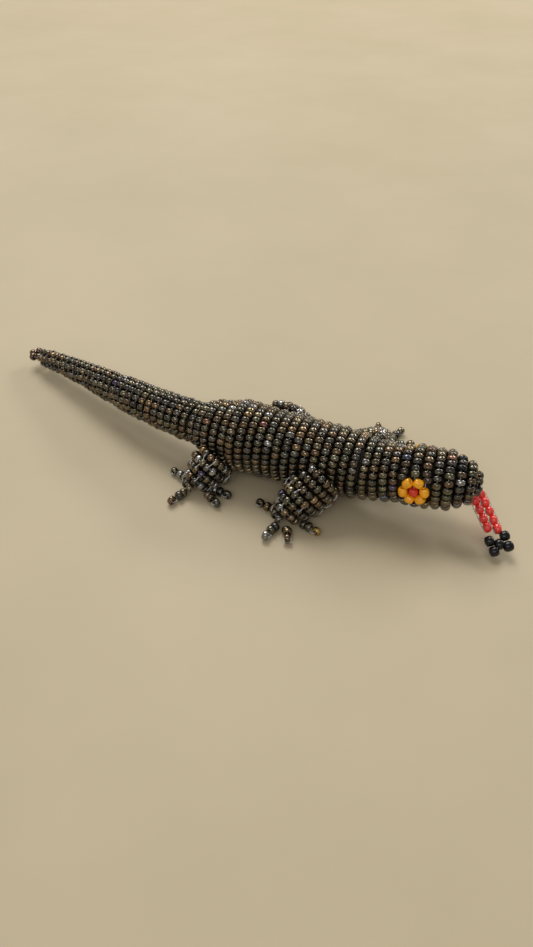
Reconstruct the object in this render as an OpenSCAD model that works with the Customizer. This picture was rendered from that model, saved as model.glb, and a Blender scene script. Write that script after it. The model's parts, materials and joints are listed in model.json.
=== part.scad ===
/* [Beads] */
// Outside diameter of one seed bead
bead_od = 2.16; // [2.1:0.02:2.2]
// Length of one seed bead along its hole
bead_len = 1.44; // [1.36:0.02:1.48]
// Diameter of the hole through a bead
bead_hole = 0.84; // [0.74:0.02:0.9]
// Free space between neighbouring beads on one thread
bead_gap = 0.1; // [0.06:0.02:0.16]
// Length of an opaque eye bead or a clear red tongue bead
long_bead = 1.8; // [1.6:0.05:1.85]
// Diameter of the clear nylon thread
thread_d = 0.24; // [0.16:0.02:0.28]

/* [Body] */
// Spacing of the rows of beads along the animal
row_pitch = 2.5; // [2.5:0.02:2.6]
// Extra spacing where the neck or the tail flexes
flex_gap = 0.3; // [0.3:0.05:0.5]
// Height of the torso's centre line above the table
torso_z = 11.2; // [11:0.1:12]
// Rows of beads in the torso
torso_rows = 19; // [18:1:20]
// Place of the torso's rearmost row along the animal
torso_x = -7.2; // [-8:0.1:-6]
// Place of the torso's centre line across the animal
torso_y = -3.6; // [-5:0.1:-3]

/* [Head] */
// Steepest climb of the neck
neck_rise = 9; // [6:0.5:9]
// Turn of the snout to the animal's left
head_turn = 8; // [0:1:10]
// Place of each eye round the head, measured from the top
eye_angle = 84; // [76:1:90]

/* [Tail] */
// Greatest turn of the tail to the animal's left
tail_turn = 19; // [0:1:20]
// Steepest fall of the tail towards its tip
tail_fall = 8; // [4:1:9]

/* [Legs] */
// Slope of the right legs, which stand under the body
right_slope = 36; // [34:1:38]
// Slope of the left legs, which reach further out
left_slope = 30; // [28:1:32]
// Distance of the right feet from the middle of the body
right_foot_out = 12.5; // [12:0.5:14]
// Distance of the left feet from the middle of the body
left_foot_out = 21; // [20:0.5:22]

/* [Tongue] */
// Slope of the tongue below level
tongue_slope = 21; // [16:1:22]
// Turn of the tongue to the animal's right
tongue_turn = 51; // [45:1:60]
// Twist of the tongue about its own length
tongue_twist = 15; // [0:5:20]
// Beads in each of the tongue's two columns
tongue_beads = 5; // [3:1:5]

/* [Hidden] */
$fn = 24;

bead_r = bead_od / 2;
dark = [0.26, 0.24, 0.2];
fibre = [0.35, 0.33, 0.3];
nylon = [0.8, 0.85, 0.88];
// Torso outline: share of the torso's length, and radius to the middle of the beads
torso_outline = [[0, 5], [0.12, 7.1], [0.3, 8.8], [0.5, 8.3], [0.75, 8], [1, 7.8]];
// Head outline: row, and radius to the middle of the beads
head_outline = [[0, 7.3], [2.5, 6.2], [5, 6.8], [8, 6.5], [10, 4.4], [11, 2]];
// Tail outline: share of the tail's length, and radius to the middle of the beads
tail_outline = [[0, 4.8], [0.35, 4.15], [0.7, 2.6], [1, 1.7]];
// Leg outline: row counted up from the foot, and radius to the middle of the beads
leg_outline = [[-1, 1.6], [0, 2.5], [1, 3.4], [2, 4.1], [3, 4.5], [5, 5], [9, 5]];
head_rows = 12;
// Climb of the neck and head, by row
head_lift = [[0, 2], [3, neck_rise], [6, 5], [11, 2]];
// Rows of beads in each of the five lengths of the tail
tail_rows = [6, 6, 5, 5, 5];
// The spine bends from the torso's fifth row back: rows behind it, and the angle
bend_row = 4;
rear_turn = [[0, 0], [4, 0.42 * tail_turn], [10, 0.8 * tail_turn], [18, tail_turn], [31, 0.9 * tail_turn]];
rear_fall = [[0, 0], [4, 3], [10, 4], [18, 5], [31, tail_fall]];
eye_row = 5;
nostril_row = 9;
long_bead_od = 2.36;
core_clearance = 0.25;
leg_clearance = 0.15;
leg_cut_r = 10.4;
leg_top = 7;
foot_z = 2.5;
toe_1 = 5.3;
tip_n = 5;
tip_reach = 4.2;
mouth_gap = 1.3;
mouth_offset = [-1.5, 4.2, -4.9];

// ---- beads ----
module bead(od = bead_od, len = bead_len) {
    rotate_extrude()
        intersection() {
            translate([od / 2 - len / 2, 0]) circle(r = len / 2);
            translate([bead_hole / 2, -len]) square([od, 2 * len]);
        }
}
function half_step(n) = 180 / n;
function ring_r(n) = (bead_len + bead_gap) / 2 / sin(half_step(n)) + (bead_od - bead_len) / 2;
function fit_share(r) = (bead_len + bead_gap) / 2 / max(r - (bead_od - bead_len) / 2, 0.9);
function ring_n(r) = max(4, round(180 / asin(min(fit_share(r), 0.9))));
// One bead on a ring about X, at an angle from the top
module ring_bead(r, angle, od = bead_od, len = bead_len) {
    rotate([angle, 0, 0]) translate([0, 0, r]) rotate([90, 0, 0]) bead(od, len);
}
module bead_ring(n, twist = 0) {
    for (i = [0 : n - 1]) ring_bead(ring_r(n), twist + i * 360 / n);
}
module thread_ring(n) {
    rotate([0, 90, 0]) rotate_extrude() translate([ring_r(n), 0]) circle(d = thread_d);
}

// ---- rows: each is [place, turn, climb, number of beads, twist] ----
function heading(turn, climb) = [cos(turn) * cos(climb), sin(turn) * cos(climb), sin(climb)];
function stagger(i, n) = (i % 2) * half_step(n);
module at_row(row) {
    translate(row[0]) rotate([0, -row[2], row[1]]) children();
}
module rows_of_beads(rows) {
    for (row = rows) at_row(row) bead_ring(row[3], row[4]);
}
module rows_of_thread(rows) {
    color(nylon) for (row = rows) at_row(row) thread_ring(row[3]);
}

// Stations behind the bend row, one per row; the step is wider where the tail flexes
rear_count = bend_row + tail_start(5);
function tail_start(k) = k == 0 ? 0 : tail_start(k - 1) + tail_rows[k - 1];
function flexes_after(u) = len([for (k = [0 : 4]) if (u == bend_row + tail_start(k)) k]) > 0;
function rear_heading(u) = heading(-lookup(u, rear_turn), lookup(u, rear_fall));
function rear_step(u) = row_pitch + (flexes_after(u) ? flex_gap : 0);
bend_point = [torso_x + bend_row * row_pitch, torso_y, torso_z];
rear = [for (u = 0, p = bend_point; u <= rear_count; p = p - rear_step(u) * rear_heading(u + 0.5), u = u + 1)
    [p, -lookup(u, rear_turn), lookup(u, rear_fall)]];

torso = [for (i = [0 : torso_rows - 1])
    let (
        n = ring_n(lookup(i / (torso_rows - 1), torso_outline)),
        station = i < bend_row ? rear[bend_row - i] : [[torso_x + i * row_pitch, torso_y, torso_z], 0, 0]
    )
    concat(station, [n, stagger(i, n)])];
function torso_ring_r(x) = lookup((x - torso_x) / row_pitch / (torso_rows - 1), torso_outline);

head_start = [torso_x + torso_rows * row_pitch + flex_gap, torso_y, torso_z];
function head_turn_at(i) = head_turn * i / head_rows;
head = [for (i = 0, p = head_start; i < head_rows;
        p = p + row_pitch * heading(head_turn_at(i + 0.5), lookup(i + 0.5, head_lift)), i = i + 1)
    let (n = ring_n(lookup(i, head_outline)))
    [p, head_turn_at(i), lookup(i, head_lift), n, stagger(i, n)]];

function tail(k) = [for (i = [tail_start(k) : tail_start(k + 1) - 1])
    concat(rear[bend_row + 1 + i], [ring_n(lookup(i / (tail_start(5) - 1), tail_outline)), 0])];

// ---- stuffing: a turned core that fills the rings and stays clear of the beads ----
function core_r(n) = ring_r(n) - bead_r - core_clearance;
module core_disc(row) {
    at_row(row) rotate([0, 90, 0])
        cylinder(r = core_r(row[3]), h = 0.02, center = true, $fn = 24);
}
// A core that follows its bent centre line from row to row
module core(rows) {
    color(fibre) for (i = [1 : len(rows) - 1]) hull() {
        core_disc(rows[i - 1]);
        core_disc(rows[i]);
    }
}

// ---- torso ----
module torso_beads_rear() {
    color(dark) rows_of_beads([for (i = [0 : 6]) torso[i]]);
}
module torso_beads_middle() {
    color(dark) rows_of_beads([for (i = [7 : 12]) torso[i]]);
}
module torso_beads_front() {
    color(dark) rows_of_beads([for (i = [13 : torso_rows - 1]) torso[i]]);
}
module torso_thread() { rows_of_thread(torso); }
module torso_stuffing() { core(torso); }

// ---- head ----
// Beads spread evenly over part of a ring, between two angles
module bead_arc(r, from, to) {
    count = floor((to - from) / (2 * half_step(ring_n(r))));
    for (i = [0 : count - 1]) ring_bead(r, from + (i + 0.5) * (to - from) / count);
}
function eye_step(r) = 2 * asin((long_bead + 2 * bead_gap) / 2 / (r - bead_r / 4));
function eye_share(i) = i == eye_row ? 1.5 : 1;
module head_row_with_eyes(i) {
    r = ring_r(head[i][3]);
    edge = eye_share(i) * eye_step(r);
    at_row(head[i]) {
        bead_arc(r, edge - eye_angle, eye_angle - edge);
        bead_arc(r, eye_angle + edge, 360 - eye_angle - edge);
    }
}
module eye_petals(side) {
    for (i = [eye_row - 1 : eye_row + 1]) {
        r = ring_r(head[i][3]);
        offset = (i == eye_row ? 1 : 0.5) * eye_step(r);
        color([0.95, 0.62, 0.05]) at_row(head[i])
            for (a = [-offset, offset]) ring_bead(r, side * eye_angle + a, long_bead_od, long_bead);
    }
}
module eye_centre(side) {
    color([0.85, 0.15, 0.08]) at_row(head[eye_row])
        ring_bead(ring_r(head[eye_row][3]), side * eye_angle, long_bead_od, long_bead);
}
module neck_beads() {
    color(dark) rows_of_beads([for (i = [0 : eye_row - 2]) head[i]]);
}
module head_beads() {
    color(dark) {
        for (i = [eye_row - 1 : eye_row + 1]) head_row_with_eyes(i);
        rows_of_beads([for (i = [eye_row + 2 : nostril_row - 1]) head[i]]);
    }
}
module snout_beads() {
    color(dark) {
        row = head[nostril_row];
        at_row(row) for (i = [0 : row[3] - 1])
            if (!is_nostril(i, row[3])) ring_bead(ring_r(row[3]), i * 360 / row[3]);
        rows_of_beads([for (i = [nostril_row + 1 : head_rows - 1]) head[i]]);
    }
}
function is_nostril(i, n) = i == 1 || i == n - 1;
module nostril_beads() {
    row = head[nostril_row];
    color([0.03, 0.03, 0.03]) at_row(row) for (i = [0 : row[3] - 1])
        if (is_nostril(i, row[3])) ring_bead(ring_r(row[3]), i * 360 / row[3]);
}
module head_thread() { rows_of_thread(head); }
module head_stuffing() { core([for (i = [0 : head_rows - 2]) head[i]]); }
module eye_petals_right() { eye_petals(1); }
module eye_petals_left() { eye_petals(-1); }
module eye_centre_right() { eye_centre(1); }
module eye_centre_left() { eye_centre(-1); }

// ---- tongue: a two-wide strip of beads that hangs from the mouth ----
mouth = head[head_rows - 1][0] + mouth_offset;
tongue_step = long_bead_od + bead_gap;
column_y = long_bead / 2 + thread_d / 2 + 0.04;
strip_end = mouth_gap + (tongue_beads + 0.5) * tongue_step;
module at_tongue() {
    translate(mouth) rotate([0, tongue_slope, -tongue_turn]) rotate([tongue_twist, 0, 0]) children();
}
module strip_bead(x, y, od = bead_od, len = bead_len) {
    translate([x, y, 0]) rotate([90, 0, 0]) bead(od, len);
}
function column_x(side, i) = mouth_gap + (i + (side > 0 ? 0.5 : 0)) * tongue_step;
module tongue_red_beads() {
    color([0.9, 0.2, 0.17]) at_tongue()
        for (side = [-1, 1], i = [0 : tongue_beads - 1])
            strip_bead(column_x(side, i), side * column_y, long_bead_od, long_bead);
}
module tongue_fork_beads() {
    color([0.02, 0.02, 0.02]) at_tongue() {
        for (side = [-1, 1]) {
            strip_bead(strip_end + 0.7, side * 1.95);
            strip_bead(strip_end + 3.5, side * 1.85);
        }
        strip_bead(strip_end + 2.2, 0);
    }
}
module thread_run(from, to) {
    run = to - from;
    translate(from) rotate([0, acos(run[2] / norm(run)), atan2(run[1], run[0])])
        cylinder(d = thread_d, h = norm(run));
}
module tongue_thread() {
    edge = column_y + long_bead / 2 + thread_d;
    tail_end = strip_end - tongue_step / 2;
    color(nylon) at_tongue() {
        thread_run([0, 0, 0], [tail_end, 0, 0]);
        for (side = [-1, 1]) {
            thread_run([column_x(side, 0), side * edge, 0], [column_x(side, tongue_beads - 1), side * edge, 0]);
            for (i = [0 : tongue_beads - 1])
                thread_run([column_x(side, i), 0, 0], [column_x(side, i), side * edge, 0]);
        }
    }
}

// ---- legs: tubes of rings that end against the torso, numbered up from the foot ----
// Each leg is [middle of the foot, turn, slope, spread of the toes, girth]
function foot(x, y) = [torso_x + x, torso_y + y, foot_z];
hind_right = [foot(4.6, -right_foot_out), 57, right_slope, [-73, 8, 92, 119], 1.2];
hind_left = [foot(23.5, left_foot_out - 1.5), -104, left_slope + 8, [-88, -45, 35, 75], 1];
front_right = [foot(31, -right_foot_out - 2), 52, right_slope, [-64, 22, 60, 113], 1.2];
front_left = [foot(46.5, left_foot_out + 1), -97, left_slope - 5, [-60, -16, 30, 75], 1];
function leg_row(leg, j) =
    let (n = ring_n(leg[4] * lookup(j, leg_outline)))
    [leg[0] + j * row_pitch * heading(leg[1], leg[2]), leg[1], leg[2], n, stagger(j, n)];
function side_of(row) = [-sin(row[1]), cos(row[1]), 0];
function top_of(row) = [-sin(row[2]) * cos(row[1]), -sin(row[2]) * sin(row[1]), cos(row[2])];
function ring_point(row, angle) = row[0] + ring_r(row[3]) * (cos(angle) * top_of(row) - sin(angle) * side_of(row));
function clear_of_torso(p) = norm([p[1] - torso_y, p[2] - torso_z]) > torso_ring_r(p[0]) + bead_od + leg_clearance;
function on_leg(p) = clear_of_torso(p) && p[2] > bead_r;
function kept(row, angle) = on_leg(ring_point(row, angle));
function kept_angles(row) = [for (i = [0 : row[3] - 1])
    let (a = row[4] + i * 360 / row[3])
    if (kept(row, a)) a];
// Where the kept beads of a cut ring start, and how many follow on from there
function arc_starts(row) = [for (a = kept_angles(row)) if (!kept(row, a - 360 / row[3])) a];
function arc_count(row, angle) = kept(row, angle) ? 1 + arc_count(row, angle + 360 / row[3]) : 0;
function leg_rows(leg) = [for (j = [-1 : leg_top])
    let (row = leg_row(leg, j))
    if (len(kept_angles(row)) > 0) row];
module leg_beads(leg) {
    color(dark) for (row = leg_rows(leg))
        at_row(row) for (a = kept_angles(row)) ring_bead(ring_r(row[3]), a);
}
module thread_arc(r, from, span) {
    rotate([from + span, 0, 0]) rotate([0, -90, 0])
        rotate_extrude(angle = span) translate([r, 0]) circle(d = thread_d);
}
module leg_thread(leg) {
    color(nylon) {
        for (row = leg_rows(leg)) at_row(row) {
            step = 360 / row[3];
            if (len(arc_starts(row)) == 0) thread_ring(row[3]);
            for (a = arc_starts(row)) thread_arc(ring_r(row[3]), a - step / 2, arc_count(row, a) * step);
        }
        for (fan = leg[3]) at_toe(leg, fan) toe_thread();
    }
}
// A turned core along the leg, cut back where the torso passes
module leg_stuffing(leg) {
    past = 0.5;
    last = leg_top + 1;
    side = [for (j = [1 : last]) [core_r(leg_row(leg, j)[3]), (j - 1) * row_pitch]];
    color(fibre) difference() {
        at_row(leg_row(leg, 1)) rotate([0, 90, 0]) rotate_extrude()
            polygon(concat([[0, -past], side[0] - [0, past]], side, [[0, side[last - 1][1]]]));
        translate([leg[0][0] - 15, torso_y, torso_z]) rotate([0, 90, 0]) cylinder(r = leg_cut_r, h = 30);
    }
}
module at_toe(leg, fan) {
    translate([leg[0][0], leg[0][1], bead_r]) rotate([0, 0, leg[1] + 180 + fan]) children();
}
toe_2 = toe_1 + bead_len + bead_gap;
toe_tip = toe_2 + bead_len / 2 + 2 * thread_d + bead_r;
module toe_beads(leg) {
    color(dark) for (fan = leg[3]) at_toe(leg, fan) {
        for (x = [toe_1, toe_2]) translate([x, 0, 0]) rotate([0, 90, 0]) bead();
        translate([toe_tip, 0, 0]) rotate([90, 0, 0]) bead();
    }
}
module toe_thread() {
    stop = toe_tip - bead_r - thread_d;
    edge = bead_len / 2 + thread_d;
    thread_run([toe_1 - bead_len, 0, 0], [stop, 0, 0]);
    thread_run([stop, -edge, 0], [stop, edge, 0]);
    thread_run([toe_tip, -edge, 0], [toe_tip, edge, 0]);
    for (y = [-edge, edge]) thread_run([stop, y, 0], [toe_tip, y, 0]);
}
module hind_leg_right_beads() { leg_beads(hind_right); }
module hind_leg_right_toes() { toe_beads(hind_right); }
module hind_leg_right_thread() { leg_thread(hind_right); }
module hind_leg_right_stuffing() { leg_stuffing(hind_right); }
module hind_leg_left_beads() { leg_beads(hind_left); }
module hind_leg_left_toes() { toe_beads(hind_left); }
module hind_leg_left_thread() { leg_thread(hind_left); }
module hind_leg_left_stuffing() { leg_stuffing(hind_left); }
module front_leg_right_beads() { leg_beads(front_right); }
module front_leg_right_toes() { toe_beads(front_right); }
module front_leg_right_thread() { leg_thread(front_right); }
module front_leg_right_stuffing() { leg_stuffing(front_right); }
module front_leg_left_beads() { leg_beads(front_left); }
module front_leg_left_toes() { toe_beads(front_left); }
module front_leg_left_thread() { leg_thread(front_left); }
module front_leg_left_stuffing() { leg_stuffing(front_left); }

// ---- tail ----
module tail_beads(k) { color(dark) rows_of_beads(tail(k)); }
module tail_1_beads() { tail_beads(0); }
module tail_1_thread() { rows_of_thread(tail(0)); }
module tail_1_stuffing() { core(tail(0)); }
module tail_2_beads() { tail_beads(1); }
module tail_2_thread() { rows_of_thread(tail(1)); }
module tail_2_stuffing() { core(tail(1)); }
module tail_3_beads() { tail_beads(2); }
module tail_3_thread() { rows_of_thread(tail(2)); }
module tail_3_stuffing() { core(tail(2)); }
module tail_4_beads() { tail_beads(3); }
module tail_4_thread() { rows_of_thread(tail(3)); }
module tail_4_stuffing() { core(tail(3)); }
module tail_5_beads() { tail_beads(4); }
module tail_5_thread() { rows_of_thread(tail(4)); }
module tail_5_stuffing() { core(tail(4)); }
// The tail ends in a loop of beads that lies level behind the last row
module at_tail_loop() {
    end = rear[rear_count];
    translate(end[0] - tip_reach * heading(end[1], end[2])) rotate([0, 90, 0]) children();
}
module tail_tip_beads() { color([0.3, 0.2, 0.12]) at_tail_loop() bead_ring(tip_n, half_step(tip_n)); }
module tail_tip_thread() { color(nylon) at_tail_loop() thread_ring(tip_n); }

torso_beads_rear();
torso_beads_middle();
torso_beads_front();
torso_thread();
torso_stuffing();
neck_beads();
head_beads();
snout_beads();
nostril_beads();
head_thread();
head_stuffing();
eye_petals_right();
eye_centre_right();
eye_petals_left();
eye_centre_left();
tongue_red_beads();
tongue_fork_beads();
tongue_thread();
hind_leg_right_beads();
hind_leg_right_toes();
hind_leg_right_thread();
hind_leg_right_stuffing();
hind_leg_left_beads();
hind_leg_left_toes();
hind_leg_left_thread();
hind_leg_left_stuffing();
front_leg_right_beads();
front_leg_right_toes();
front_leg_right_thread();
front_leg_right_stuffing();
front_leg_left_beads();
front_leg_left_toes();
front_leg_left_thread();
front_leg_left_stuffing();
tail_1_beads();
tail_1_thread();
tail_1_stuffing();
tail_2_beads();
tail_2_thread();
tail_2_stuffing();
tail_3_beads();
tail_3_thread();
tail_3_stuffing();
tail_4_beads();
tail_4_thread();
tail_4_stuffing();
tail_5_beads();
tail_5_thread();
tail_5_stuffing();
tail_tip_beads();
tail_tip_thread();
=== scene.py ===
import json
import math

import bpy
import numpy as np
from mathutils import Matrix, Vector, noise


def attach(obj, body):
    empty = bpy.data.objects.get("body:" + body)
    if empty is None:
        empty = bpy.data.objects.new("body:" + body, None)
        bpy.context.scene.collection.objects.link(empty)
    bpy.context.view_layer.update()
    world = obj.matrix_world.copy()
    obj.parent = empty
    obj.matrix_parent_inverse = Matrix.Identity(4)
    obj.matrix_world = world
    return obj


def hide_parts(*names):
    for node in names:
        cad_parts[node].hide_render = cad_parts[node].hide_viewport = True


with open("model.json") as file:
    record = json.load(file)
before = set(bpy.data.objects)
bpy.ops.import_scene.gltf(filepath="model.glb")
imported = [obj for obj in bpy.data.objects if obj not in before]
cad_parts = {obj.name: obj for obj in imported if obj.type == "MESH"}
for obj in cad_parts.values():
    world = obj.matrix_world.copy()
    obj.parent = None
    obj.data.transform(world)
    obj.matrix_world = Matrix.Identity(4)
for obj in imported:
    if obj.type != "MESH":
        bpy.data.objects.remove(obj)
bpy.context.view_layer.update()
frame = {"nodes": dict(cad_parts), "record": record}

MM = 0.001
BODY_OF = {node: body for body, nodes in frame["record"]["behaviour"]["bodies"].items() for node in nodes}
SLOT_OF = {part["node"]: part["material_slot"] for part in frame["record"]["subparts"]}
rng = np.random.default_rng(7)


# ---------------------------------------------------------------- mesh helpers
def new_mesh(name, points, faces, smooth=True):
    """A mesh object from an (n, 3) array and an (m, 4) array of quads."""
    mesh = bpy.data.meshes.new(name)
    mesh.vertices.add(len(points))
    mesh.vertices.foreach_set("co", np.asarray(points, np.float32).ravel())
    mesh.loops.add(faces.size)
    mesh.loops.foreach_set("vertex_index", faces.astype(np.int32).ravel())
    mesh.polygons.add(len(faces))
    mesh.polygons.foreach_set("loop_start", np.arange(0, faces.size, 4, dtype=np.int32))
    mesh.polygons.foreach_set("loop_total", np.full(len(faces), 4, np.int32))
    mesh.update(calc_edges=True)
    mesh.validate()
    mesh.polygons.foreach_set("use_smooth", np.full(len(faces), smooth))
    piece = bpy.data.objects.new(name, mesh)
    bpy.context.scene.collection.objects.link(piece)
    return piece


def paint(piece, name, values):
    """Stores one colour a point, for the materials to read."""
    layer = piece.data.attributes.new(name, "FLOAT_COLOR", "POINT")
    layer.data.foreach_set("color", np.asarray(values, np.float32).ravel())


def finish_piece(piece, node, material):
    piece.data.materials.append(material)
    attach(piece, BODY_OF[node])


def node_mesh(node):
    """The CAD node's points, welded, and its triangles."""
    mesh = frame["nodes"][node].data
    points = np.zeros(len(mesh.vertices) * 3, np.float32)
    mesh.vertices.foreach_get("co", points)
    points = points.reshape(-1, 3).astype(float)
    mesh.calc_loop_triangles()
    tris = np.zeros(len(mesh.loop_triangles) * 3, np.int32)
    mesh.loop_triangles.foreach_get("vertices", tris)
    _, first, welded = np.unique(np.round(points / 2e-6), axis=0, return_index=True, return_inverse=True)
    return points[first], welded.ravel()[tris].reshape(-1, 3)


def islands(points, tris):
    """The index list of each separate solid in a node."""
    label = np.arange(len(points))
    while True:
        low = label[tris].min(axis=1)
        before = label.copy()
        for k in range(3):
            np.minimum.at(label, tris[:, k], low)
        label = label[label]
        if np.array_equal(label, before):
            break
    order = np.argsort(label, kind="stable")
    cuts = np.flatnonzero(np.diff(label[order])) + 1
    return np.split(order, cuts)


def bead_places(node):
    """Middle, hole direction, outside radius and half length of every bead in a CAD node."""
    points, tris = node_mesh(node)
    found = []
    for index in islands(points, tris):
        cloud = points[index]
        middle = (cloud.max(axis=0) + cloud.min(axis=0)) / 2
        for _ in range(2):
            spread, axes = np.linalg.eigh(np.cov((cloud - middle).T))
            axis = axes[:, 0]
            along = (cloud - middle) @ axis
            middle = middle + axis * (along.max() + along.min()) / 2
        across = cloud - middle - np.outer((cloud - middle) @ axis, axis)
        middle = middle + across.mean(axis=0)
        radius = np.linalg.norm(across - across.mean(axis=0), axis=1).max()
        half = np.abs((cloud - middle) @ axis).max()
        found.append((middle, axis, radius, half))
    found.sort(key=lambda bead: tuple(np.round(bead[0], 6)))
    return found


# ---------------------------------------------------------------- materials
def material(name):
    made = bpy.data.materials.new(name)
    made.use_nodes = True
    nodes = made.node_tree.nodes
    return made, nodes, made.node_tree.links, nodes["Principled BSDF"]


def noise_node(nodes, links, scale, detail=3.0, rough=0.5):
    coords = nodes.new("ShaderNodeTexCoord")
    texture = nodes.new("ShaderNodeTexNoise")
    texture.inputs["Scale"].default_value = scale
    texture.inputs["Detail"].default_value = detail
    texture.inputs["Roughness"].default_value = rough
    links.new(coords.outputs["Object"], texture.inputs["Vector"])
    return texture


def remap(nodes, links, value, low, high, start=0.3, end=0.7):
    node = nodes.new("ShaderNodeMapRange")
    node.inputs["From Min"].default_value = start
    node.inputs["From Max"].default_value = end
    node.inputs["To Min"].default_value = low
    node.inputs["To Max"].default_value = high
    links.new(value, node.inputs["Value"])
    return node.outputs["Result"]


def bump(nodes, links, shader, height, strength, distance):
    node = nodes.new("ShaderNodeBump")
    node.inputs["Strength"].default_value = strength
    node.inputs["Distance"].default_value = distance
    links.new(height, node.inputs["Height"])
    links.new(node.outputs["Normal"], shader.inputs["Normal"])


def tinted(nodes, links, shade_scale, low, high):
    """The bead's own colour, from the mesh, with soft swirls of lighter and darker glaze."""
    attribute = nodes.new("ShaderNodeAttribute")
    attribute.attribute_name = "bead_tint"
    swirl = noise_node(nodes, links, shade_scale, 4.0, 0.6)
    shade = remap(nodes, links, swirl.outputs["Fac"], low, high)
    mix = nodes.new("ShaderNodeVectorMath")
    mix.operation = "SCALE"
    links.new(attribute.outputs["Color"], mix.inputs[0])
    links.new(shade, mix.inputs["Scale"])
    return mix.outputs["Vector"]


def iris_glass():
    """Metallic iris glaze on glass: dark face, bright edge, small hard lights."""
    made, nodes, links, shader = material("iris_glass")
    colour = tinted(nodes, links, 700, 0.5, 1.35)
    hue = nodes.new("ShaderNodeHueSaturation")
    drift = noise_node(nodes, links, 380, 2.0)
    links.new(remap(nodes, links, drift.outputs["Fac"], 0.485, 0.515), hue.inputs["Hue"])
    links.new(colour, hue.inputs["Color"])
    links.new(hue.outputs["Color"], shader.inputs["Base Color"])
    shader.inputs["Metallic"].default_value = 0.9
    wear = noise_node(nodes, links, 1900, 3.0)
    links.new(remap(nodes, links, wear.outputs["Fac"], 0.08, 0.24), shader.inputs["Roughness"])
    shader.inputs["Coat Weight"].default_value = 0.6
    shader.inputs["Coat Roughness"].default_value = 0.05
    shader.inputs["Coat IOR"].default_value = 1.5
    ripple = noise_node(nodes, links, 850, 2.0)
    bump(nodes, links, shader, ripple.outputs["Fac"], 0.35, 0.00012)
    return made


def opaque_glass(name, coat=0.5, rough=(0.16, 0.3), gloss=0.5):
    """Pressed opaque glass with a fire-polished skin."""
    made, nodes, links, shader = material(name)
    colour = tinted(nodes, links, 900, 0.86, 1.1)
    links.new(colour, shader.inputs["Base Color"])
    wear = noise_node(nodes, links, 1500, 3.0)
    links.new(remap(nodes, links, wear.outputs["Fac"], *rough), shader.inputs["Roughness"])
    shader.inputs["Specular IOR Level"].default_value = gloss
    shader.inputs["Coat Weight"].default_value = coat
    shader.inputs["Coat Roughness"].default_value = 0.06
    ripple = noise_node(nodes, links, 800, 2.0)
    bump(nodes, links, shader, ripple.outputs["Fac"], 0.3, 0.0001)
    return made


def clear_glass(name, transmission, subsurface):
    """Coloured see-through glass."""
    made, nodes, links, shader = material(name)
    colour = tinted(nodes, links, 800, 0.9, 1.1)
    links.new(colour, shader.inputs["Base Color"])
    wear = noise_node(nodes, links, 1500, 3.0)
    links.new(remap(nodes, links, wear.outputs["Fac"], 0.05, 0.16), shader.inputs["Roughness"])
    shader.inputs["Transmission Weight"].default_value = transmission
    shader.inputs["IOR"].default_value = 1.5
    shader.inputs["Subsurface Weight"].default_value = subsurface
    shader.inputs["Subsurface Radius"].default_value = (0.0012, 0.0004, 0.0003)
    shader.inputs["Subsurface Scale"].default_value = 1.0
    shader.inputs["Coat Weight"].default_value = 0.7
    shader.inputs["Coat Roughness"].default_value = 0.05
    ripple = noise_node(nodes, links, 800, 2.0)
    bump(nodes, links, shader, ripple.outputs["Fac"], 0.25, 0.0001)
    return made


def nylon():
    """Clear nylon monofilament with faint drawing marks."""
    made, nodes, links, shader = material("nylon")
    cloud = noise_node(nodes, links, 1200, 2.0)
    ramp = nodes.new("ShaderNodeValToRGB")
    ramp.color_ramp.elements[0].color = (0.55, 0.58, 0.6, 1)
    ramp.color_ramp.elements[1].color = (0.85, 0.87, 0.88, 1)
    links.new(cloud.outputs["Fac"], ramp.inputs["Fac"])
    links.new(ramp.outputs["Color"], shader.inputs["Base Color"])
    links.new(remap(nodes, links, cloud.outputs["Fac"], 0.12, 0.35), shader.inputs["Roughness"])
    shader.inputs["Transmission Weight"].default_value = 0.55
    shader.inputs["IOR"].default_value = 1.53
    bump(nodes, links, shader, cloud.outputs["Fac"], 0.2, 0.00004)
    return made


def fibre():
    """Loose fibre stuffing, seen only between the beads, coloured near black as painted shade for the shadow in the
    gaps.
    """
    made, nodes, links, shader = material("fibre")
    strands = noise_node(nodes, links, 2600, 6.0, 0.7)
    # Near-black tones: painted shade standing in for the shadow deep between the beads.
    ramp = nodes.new("ShaderNodeValToRGB")
    ramp.color_ramp.elements[0].position = 0.35
    ramp.color_ramp.elements[0].color = (0.008, 0.007, 0.006, 1)
    ramp.color_ramp.elements[1].position = 0.7
    ramp.color_ramp.elements[1].color = (0.05, 0.043, 0.036, 1)
    links.new(strands.outputs["Fac"], ramp.inputs["Fac"])
    links.new(ramp.outputs["Color"], shader.inputs["Base Color"])
    shader.inputs["Roughness"].default_value = 0.95
    shader.inputs["Sheen Weight"].default_value = 0.3
    bump(nodes, links, shader, strands.outputs["Fac"], 0.8, 0.0003)
    return made


IRIS = iris_glass()
ORANGE = opaque_glass("orange_glass")
RED = opaque_glass("red_glass")
BLACK = opaque_glass("black_glass", 0.25, (0.08, 0.2), 0.25)
CORAL = clear_glass("coral_glass", 0.12, 0.25)
NYLON = nylon()
SHADE_DARK_FIBRE = fibre()

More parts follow.
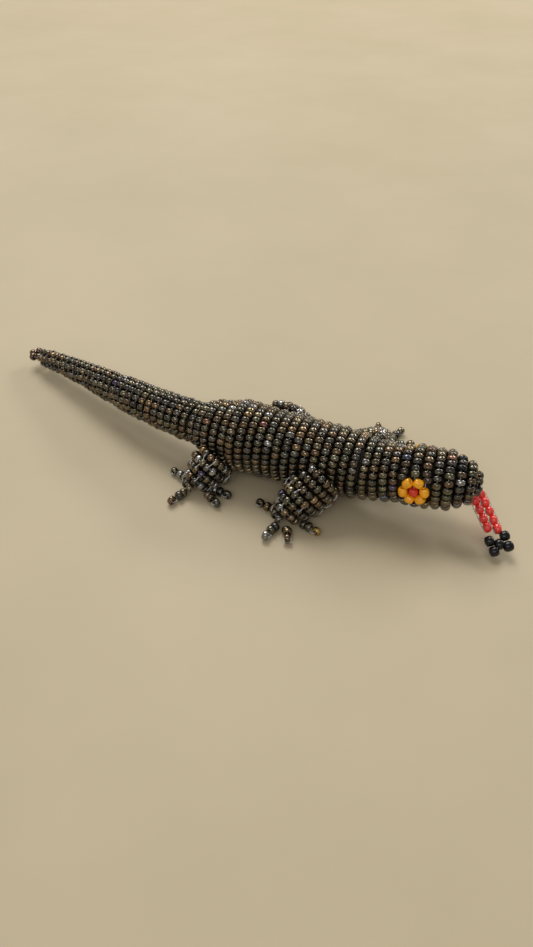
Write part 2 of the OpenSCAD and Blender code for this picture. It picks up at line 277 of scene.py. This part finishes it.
# ---------------------------------------------------------------- beads
# Half of a bead's section: share of the outside radius, share of the half length
SEED = [(0.40, 0.0), (0.40, 0.52), (0.43, 0.80), (0.52, 0.96), (0.66, 1.0), (0.81, 0.92), (0.92, 0.74), (0.98, 0.46)]
DROP = [(0.30, 0.0), (0.30, 0.60), (0.36, 0.85), (0.50, 1.00), (0.68, 0.95), (0.84, 0.80), (0.95, 0.54), (0.99, 0.27)]
ROUND = 20              # sections round a bead
RING = 2 * len(SEED)    # points round each section
NEAR_BODY = 3.6 * MM    # beads nearer than this to another body's beads keep room to move
NEAR_FULL = 1.03        # how much those beads swell
JITTER = 0.05 * MM      # how far a bead may sit from its place


def section(profile):
    return np.array(profile + [(1.0, 0.0)] + [(r, -h) for r, h in reversed(profile[1:])])


def bead_faces(count):
    """Quads for a number of beads, each a closed ring of sections."""
    turn, step = np.meshgrid(np.arange(ROUND), np.arange(RING), indexing="ij")
    one = np.stack([
        turn * RING + step,
        turn * RING + (step + 1) % RING,
        (turn + 1) % ROUND * RING + (step + 1) % RING,
        (turn + 1) % ROUND * RING + step,
    ], axis=-1).reshape(-1, 4)
    return (one[None] + (np.arange(count) * ROUND * RING)[:, None, None]).reshape(-1, 4)


def bead_points(beads, shape, scale):
    """Every bead a little different in place, size, length, lean and roundness."""
    angle = np.arange(ROUND) * 2 * math.pi / ROUND
    made = []
    for (middle, axis, radius, half), grow in zip(beads, scale):
        lean = axis + rng.normal(0, 0.045, 3)
        lean /= np.linalg.norm(lean)
        side = np.cross(lean, [0.3, 0.5, 0.81])
        side /= np.linalg.norm(side)
        other = np.cross(lean, side)
        middle = middle + rng.normal(0, JITTER, 3) * (grow > 1.05)
        r = radius * grow * rng.normal(1.0, 0.02)
        middle = np.array([middle[0], middle[1], max(middle[2], r)])
        h = half * rng.normal(1.02, 0.035)
        skew = rng.normal(0, 0.03)
        wobble = 1 + 0.018 * np.cos(2 * angle + rng.uniform(0, 6.28))
        out = np.cos(angle)[:, None] * side + np.sin(angle)[:, None] * other
        body = out[:, None, :] * (shape[:, 0] * r)[None, :, None] * wobble[:, None, None]
        length = shape[:, 1][None, :] * h * (1 + skew * np.cos(angle)[:, None])
        made.append((middle + body + length[:, :, None] * lean).reshape(-1, 3))
    return np.concatenate(made)


NOT_BEADS = ("nylon_thread", "stuffing_fibre")
BEADS = {node: bead_places(node) for node in sorted(BODY_OF) if SLOT_OF[node] not in NOT_BEADS}
MIDDLES = {node: np.array([bead[0] for bead in beads]) for node, beads in BEADS.items()}


def fullness(node, full):
    """How much each bead swells: the weave is tight, but rows near another body keep their room."""
    others = np.concatenate([MIDDLES[other] for other in BEADS if BODY_OF[other] != BODY_OF[node]])
    gap = np.array([np.linalg.norm(others - middle, axis=1).min() for middle in MIDDLES[node]])
    return np.where(gap < NEAR_BODY, NEAR_FULL, full)


def string_beads(node, colours, shared, profile=SEED, full=1.15, stretch=1.0):
    beads = [(place, axis, radius, half * stretch) for place, axis, radius, half in BEADS[node]]
    tints = colours(beads)
    points = bead_points(beads, section(profile), fullness(node, full))
    piece = new_mesh(node + ".skin", points, bead_faces(len(beads)))
    paint(piece, "bead_tint", np.repeat(np.c_[tints, np.ones(len(tints))], ROUND * RING, axis=0))
    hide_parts(node)
    finish_piece(piece, node, shared)


TILT = {"right": -0.14, "left": 0.14}
PETAL = 2.62 * MM       # from the red bead's middle to a petal's
EYE_BEAD = 1.22 * MM    # radius of the petals and the red bead
PUSHED = 4.45 * MM      # dark beads are pushed out towards this far from the red bead
TOE_GAP = 2.3 * MM      # from a toe's inner bead to the leg once it is drawn in
TOE_PULL = 1.1 * MM     # the most that a toe is drawn in
SNOUT_BACK = 0.8 * MM
FORK_BACK = 0.9 * MM


def flower(side):
    """The petals lie round the red bead, raised on the woven skin, and push dark beads aside."""
    heart = BEADS["eye_centre_" + side]
    middle = heart[0][0]
    along = np.array([1.0, 0.0, 0.0])
    round_way = heart[0][1]
    along = along - round_way * (along @ round_way)
    along /= np.linalg.norm(along)
    out = np.cross(along, round_way)
    out *= np.sign(out[1]) * (-1 if side == "right" else 1)
    half = 1.17 * MM
    petals = []
    for k in range(6):
        turn = math.radians(60 * k) + TILT[side]
        lean = math.cos(turn) * along + math.sin(turn) * round_way
        place = middle + PETAL * lean
        drop = (PETAL * math.sin(turn)) ** 2 / (16 * MM)
        petals.append((place + out * (0.42 * MM - drop), np.cross(out, lean), EYE_BEAD, half))
    BEADS["eye_petals_" + side] = petals
    BEADS["eye_centre_" + side] = [(middle + out * 0.4 * MM, heart[0][1], EYE_BEAD, 1.05 * MM)]
    for k, (place, axis, radius, length) in enumerate(BEADS["head_beads"]):
        away = place - middle
        flat = away - out * (away @ out)
        reach = np.linalg.norm(flat)
        if reach < PUSHED and away @ out > -3 * MM:
            moved = place + flat / reach * (PUSHED - reach) * 0.8 - out * 0.1 * MM
            BEADS["head_beads"][k] = (moved, axis, radius, length)


def draw_in(node):
    """Each toe's three beads are pulled up close to the foot they grow from."""
    leg = MIDDLES[node.replace("toes", "beads")]
    stand = np.array([place for place, *_ in BEADS[node]])
    for k, (place, axis, radius, half) in enumerate(BEADS[node]):
        mates = np.argsort(np.linalg.norm(stand - place, axis=1))[:3]
        to_leg = [np.linalg.norm(leg - stand[m], axis=1).min() for m in mates]
        inner, tip = stand[mates[int(np.argmin(to_leg))]], stand[mates[int(np.argmax(to_leg))]]
        back = (inner - tip) / np.linalg.norm(inner - tip)
        pull = min(max(min(to_leg) - TOE_GAP, 0), TOE_PULL)
        BEADS[node][k] = (place + back * pull, axis, radius, half)


for node in BEADS:
    if node.endswith("toes"):
        draw_in(node)
flower("right")
flower("left")
# The last small ring closes the snout, tight against the ring behind it
front = MIDDLES["snout_beads"][:, 0].max()
BEADS["snout_beads"] = [
    (place - np.array([SNOUT_BACK, 0, 0]) * (place[0] > front - 1.2 * MM), *rest)
    for place, *rest in BEADS["snout_beads"]
]
# The fork sits tight against the end of the tongue
droop = MIDDLES["tongue_fork_beads"].mean(axis=0) - MIDDLES["tongue_red_beads"].mean(axis=0)
droop /= np.linalg.norm(droop)
BEADS["tongue_fork_beads"] = [
    (place - droop * FORK_BACK, *rest) for place, *rest in BEADS["tongue_fork_beads"]
]

BRONZE = np.array([
    (0.125, 0.098, 0.062), (0.095, 0.080, 0.056), (0.150, 0.105, 0.058), (0.165, 0.135, 0.080),
    (0.085, 0.075, 0.062), (0.115, 0.106, 0.088), (0.180, 0.120, 0.060), (0.120, 0.112, 0.070),
])
RARE = np.array([
    (0.42, 0.27, 0.08), (0.24, 0.23, 0.21), (0.11, 0.09, 0.15), (0.22, 0.11, 0.07), (0.09, 0.11, 0.14),
])
SILVER = np.array([(0.34, 0.33, 0.31), (0.26, 0.25, 0.23), (0.42, 0.41, 0.39)])


def bronze(rare, silver):
    """A mix of iris bronze beads, with a share of odd ones and a share of silver ones."""
    def pick(beads):
        count = len(beads)
        tints = BRONZE[rng.integers(len(BRONZE), size=count)] * rng.lognormal(0, 0.22, (count, 1))
        chance = rng.random(count)
        odd = chance < rare
        pale = chance > 1 - silver
        for chosen, palette in ((odd, RARE), (pale, SILVER)):
            share = chosen.sum()
            tints[chosen] = palette[rng.integers(len(palette), size=share)] * rng.uniform(0.7, 1.2, (share, 1))
        return tints
    return pick


def plain(r, g, b, spread=0.08):
    def pick(beads):
        return np.array([(r, g, b)]) * rng.normal(1, spread, (len(beads), 1)).clip(0.7, 1.3)
    return pick


for node, body in sorted(BODY_OF.items()):
    if node not in BEADS:
        continue
    if node.startswith("eye_petals"):
        string_beads(node, plain(1.0, 0.43, 0.002, 0.04), ORANGE, DROP, 1.0)
    elif node.startswith("eye_centre"):
        string_beads(node, plain(0.75, 0.030, 0.008), RED, DROP, 1.0)
    elif node == "tongue_red_beads":
        string_beads(node, plain(1.0, 0.045, 0.035, 0.04), CORAL, DROP, 1.1)
    elif node == "tongue_fork_beads":
        string_beads(node, plain(0.006, 0.006, 0.007), BLACK, DROP, 1.2, 1.5)
    elif node == "nostril_beads":
        string_beads(node, plain(0.006, 0.006, 0.007), BLACK, DROP, 1.25)
    elif node == "tail_tip_beads":
        string_beads(node, plain(0.13, 0.085, 0.05, 0.2), IRIS)
    elif node == "snout_beads":
        string_beads(node, bronze(0.02, 0.05), IRIS, SEED, 1.18)
    elif "leg" in body:
        string_beads(node, bronze(0.02, 0.16), IRIS)
    else:
        string_beads(node, bronze(0.02, 0.02), IRIS)


# ---------------------------------------------------------------- stitches
STITCH = 0.13 * MM      # radius of a visible run of nylon


def stitches(node, share):
    """Loose runs of nylon that show on the outside, each from one bead to another near it."""
    centre = MIDDLES[node].mean(axis=0)
    sides = 6
    steps = np.linspace(0, 1, 9)
    points, count = [], 0
    for i, (place, _, radius, _) in enumerate(BEADS[node]):
        for j in range(i + 1, len(BEADS[node])):
            other = BEADS[node][j]
            run = other[0] - place
            gap = np.linalg.norm(run)
            if not 2.3 * MM < gap < 3.1 * MM or rng.random() > share:
                continue
            out = (place + other[0]) / 2 - centre
            out -= run * (out @ run) / gap ** 2
            out /= np.linalg.norm(out)
            lift = (0.80 + 0.42 * np.sin(math.pi * steps)) * radius
            line = place + run * steps[:, None] + out * lift[:, None]
            across = np.cross(run / gap, out)
            angle = np.arange(sides) * 2 * math.pi / sides
            loop = np.cos(angle)[:, None] * across + np.sin(angle)[:, None] * out
            points.append((line[:, None, :] + STITCH * loop).reshape(-1, 3))
            count += 1
    if not count:
        return
    ring, turn = np.meshgrid(np.arange(len(steps) - 1), np.arange(sides), indexing="ij")
    one = np.stack([
        ring * sides + turn,
        ring * sides + (turn + 1) % sides,
        (ring + 1) * sides + (turn + 1) % sides,
        (ring + 1) * sides + turn,
    ], axis=-1).reshape(-1, 4)
    faces = (one[None] + (np.arange(count) * sides * len(steps))[:, None, None]).reshape(-1, 4)
    piece = new_mesh(node + ".stitches", np.concatenate(points), faces)
    piece.data.materials.append(NYLON)
    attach(piece, BODY_OF[node])


for node in BEADS:
    if node.endswith("leg_right_beads") or node.endswith("leg_left_beads"):
        stitches(node, 0.14)


# ---------------------------------------------------------------- stuffing
def stuff(node):
    """Loose fibre: the core solid remeshed, dented and tufted, always inside the bead skin."""
    source = frame["nodes"][node]
    rough = bpy.data.objects.new("rough", source.data.copy())
    bpy.context.scene.collection.objects.link(rough)
    remesh = rough.modifiers.new("remesh", "REMESH")
    remesh.mode = "VOXEL"
    remesh.voxel_size = 0.45 * MM
    smooth = rough.modifiers.new("smooth", "SMOOTH")
    smooth.iterations = 3
    graph = bpy.context.evaluated_depsgraph_get()
    mesh = bpy.data.meshes.new_from_object(rough.evaluated_get(graph))
    bpy.data.objects.remove(rough)
    for vertex in mesh.vertices:
        tuft = noise.fractal(vertex.co * 900, 0.9, 2.1, 4)
        vertex.co -= vertex.normal * (0.16 + 0.14 * max(-1.0, min(1.0, tuft))) * MM
    for face in mesh.polygons:
        face.use_smooth = True
    mesh.materials.clear()
    piece = bpy.data.objects.new(node + ".fibre", mesh)
    bpy.context.scene.collection.objects.link(piece)
    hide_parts(node)
    finish_piece(piece, node, SHADE_DARK_FIBRE)


for node in sorted(BODY_OF):
    if SLOT_OF[node] == "stuffing_fibre":
        stuff(node)
    if SLOT_OF[node] == "nylon_thread":
        thread = frame["nodes"][node]
        thread.data.materials.clear()
        thread.data.materials.append(NYLON)
        for face in thread.data.polygons:
            face.use_smooth = True

# ---------------------------------------------------------------- stage
def stone():
    made, nodes, links, shader = material("pale_floor")
    cloud = noise_node(nodes, links, 9, 5.0, 0.6)
    ramp = nodes.new("ShaderNodeValToRGB")
    ramp.color_ramp.elements[0].position = 0.3
    ramp.color_ramp.elements[0].color = (0.50, 0.42, 0.27, 1)
    ramp.color_ramp.elements[1].position = 0.7
    ramp.color_ramp.elements[1].color = (0.56, 0.47, 0.32, 1)
    links.new(cloud.outputs["Fac"], ramp.inputs["Fac"])
    links.new(ramp.outputs["Color"], shader.inputs["Base Color"])
    shader.inputs["Roughness"].default_value = 0.6
    return made


FLOOR = 3.0             # half the floor's width, in metres
corners = [(-FLOOR, -FLOOR, 0), (FLOOR, -FLOOR, 0), (FLOOR, FLOOR, 0), (-FLOOR, FLOOR, 0)]
floor = new_mesh("floor", corners, np.array([[0, 1, 2, 3]]), smooth=False)
floor.data.materials.append(stone())


def lamp(name, place, aim, size, power, colour=(1, 1, 1)):
    light = bpy.data.lights.new(name, "AREA")
    light.shape = "RECTANGLE"
    light.size, light.size_y = size
    light.energy = power
    light.color = colour
    made = bpy.data.objects.new(name, light)
    made.location = place
    made.rotation_euler = (Vector(aim) - Vector(place)).to_track_quat("-Z", "Y").to_euler()
    bpy.context.scene.collection.objects.link(made)


lamp("key", (-0.55, 0.75, 1.20), (0, 0, 0), (0.85, 0.85), 13, (1.0, 0.98, 0.94))
lamp("back", (0.60, 1.20, 0.75), (0, 0, 0), (0.70, 0.25), 6.5)
lamp("fill", (0.20, -1.20, 1.20), (0, 0, 0), (1.20, 0.60), 5.5, (1.0, 0.98, 0.95))

world = bpy.data.worlds.new("studio")
world.use_nodes = True
world.node_tree.nodes["Background"].inputs["Color"].default_value = (1.0, 0.97, 0.92, 1)
world.node_tree.nodes["Background"].inputs["Strength"].default_value = 0.32
bpy.context.scene.world = world

# ---------------------------------------------------------------- camera
FOCAL = 712             # focal length in pixels of a picture 947 pixels high
TILT_DOWN = 42.5        # degrees below level
FACING = 111.9          # degrees round from +X
lens = bpy.data.cameras.new("camera")
lens.sensor_width = 36
lens.lens = FOCAL * 36 / 947
lens.clip_start = 0.005
camera = bpy.data.objects.new("camera", lens)
camera.location = (0.0666, -0.1386, 0.1330)
camera.rotation_euler = (math.radians(90 - TILT_DOWN), 0, math.radians(FACING - 90))
bpy.context.scene.collection.objects.link(camera)
bpy.context.scene.camera = camera
bpy.context.scene.view_settings.view_transform = "Standard"
